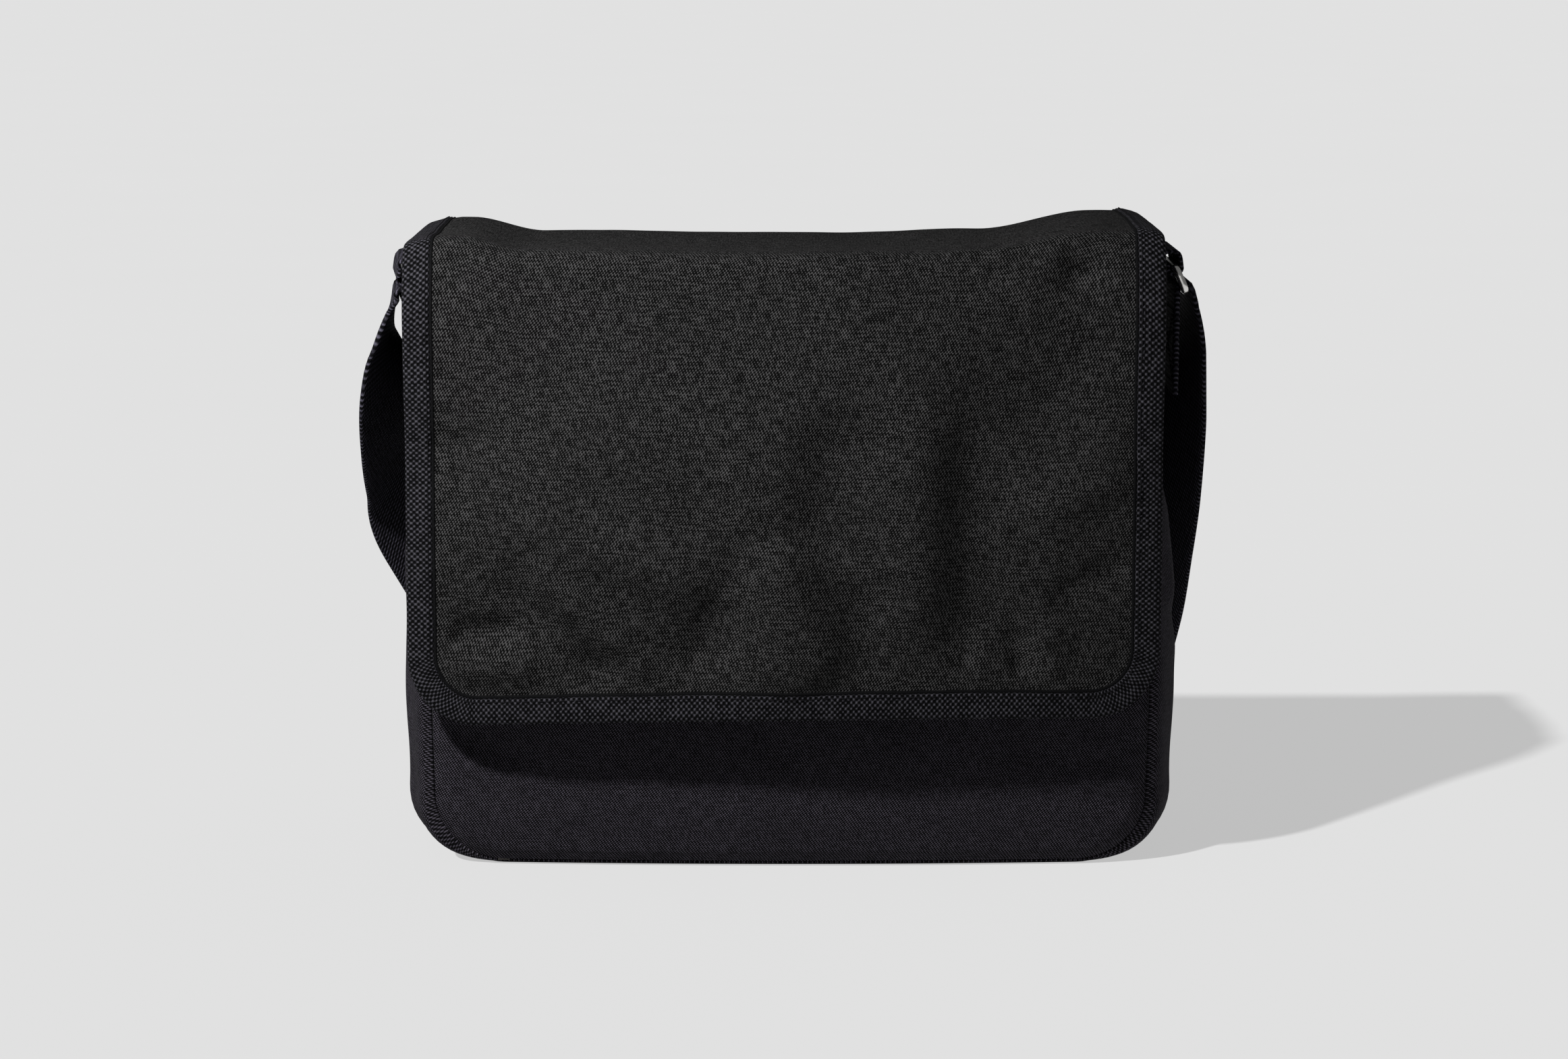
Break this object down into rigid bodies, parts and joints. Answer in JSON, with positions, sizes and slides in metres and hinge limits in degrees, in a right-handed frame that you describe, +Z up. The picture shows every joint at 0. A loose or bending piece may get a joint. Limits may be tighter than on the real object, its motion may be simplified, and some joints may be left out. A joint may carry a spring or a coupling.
{
  "type": "messenger bag",
  "caption": "Canvas messenger bag with a full-width fold-over flap bound in tape, a boxed body and a webbing shoulder strap on wire rings.",
  "frame": {"origin": "centre of the base between the two side seams, on the surface the bag stands on", "axes": "+X across the bag to the right seen from the front, +Y from the front panel to the back panel, +Z up"},
  "size_m": [0.4141, 0.2303, 0.2996],
  "materials": {
    "canvas": "plain woven cotton canvas",
    "lining": "fine plain weave",
    "binding_tape": "coarse woven tape",
    "webbing": "twill webbing",
    "stiffener": "matte sheet",
    "loop_tape": "brushed loop pile",
    "hook_tape": "small plastic hooks",
    "steel": "nickel-plated wire",
    "keeper": "moulded"
  },
  "bodies": {
    "shell": {"front_panel": "canvas", "back_panel": "canvas", "gusset": "canvas", "front_lining": "lining", "back_lining": "lining", "gusset_lining": "lining", "base_board": "stiffener", "mouth_binding": "binding_tape", "inner_pocket": "lining", "pocket_binding": "binding_tape", "loop_tape_left": "loop_tape", "loop_tape_right": "loop_tape"},
    "flap_top": {"flap_top_panel": "canvas", "flap_top_lining": "lining", "flap_top_binding_left": "binding_tape", "flap_top_binding_right": "binding_tape"},
    "flap_front": {"flap_front_panel": "canvas", "flap_front_lining": "lining", "flap_front_binding": "binding_tape", "hook_tape_left": "hook_tape", "hook_tape_right": "hook_tape"},
    "strap": {"strap_long": "webbing", "strap_short": "webbing", "ring_left": "steel", "ring_right": "steel", "ring_tab_left": "webbing", "ring_tab_right": "webbing", "slider_frame": "steel", "slider_bar": "steel"},
    "keeper": {"strap_keeper": "keeper"}
  },
  "joints": [
    {"name": "flap_back_fold", "type": "hinge", "parent": "shell", "child": "flap_top", "pos_m": [0, 0.058, 0.2945], "axis": [-1, 0, 0], "range_deg": [0, 100]},
    {"name": "flap_front_fold", "type": "hinge", "parent": "flap_top", "child": "flap_front", "pos_m": [0, -0.0655, 0.298], "axis": [-1, 0, 0], "range_deg": [0, 150]},
    {"name": "strap_swing", "type": "hinge", "parent": "shell", "child": "strap", "pos_m": [0, 0, 0.286], "axis": [1, 0, 0], "range_deg": [0, 90]},
    {"name": "keeper_slide", "type": "slide", "parent": "strap", "child": "keeper", "axis": [1, 0, 0], "range_m": [-0.025, 0.02]}
  ]
}
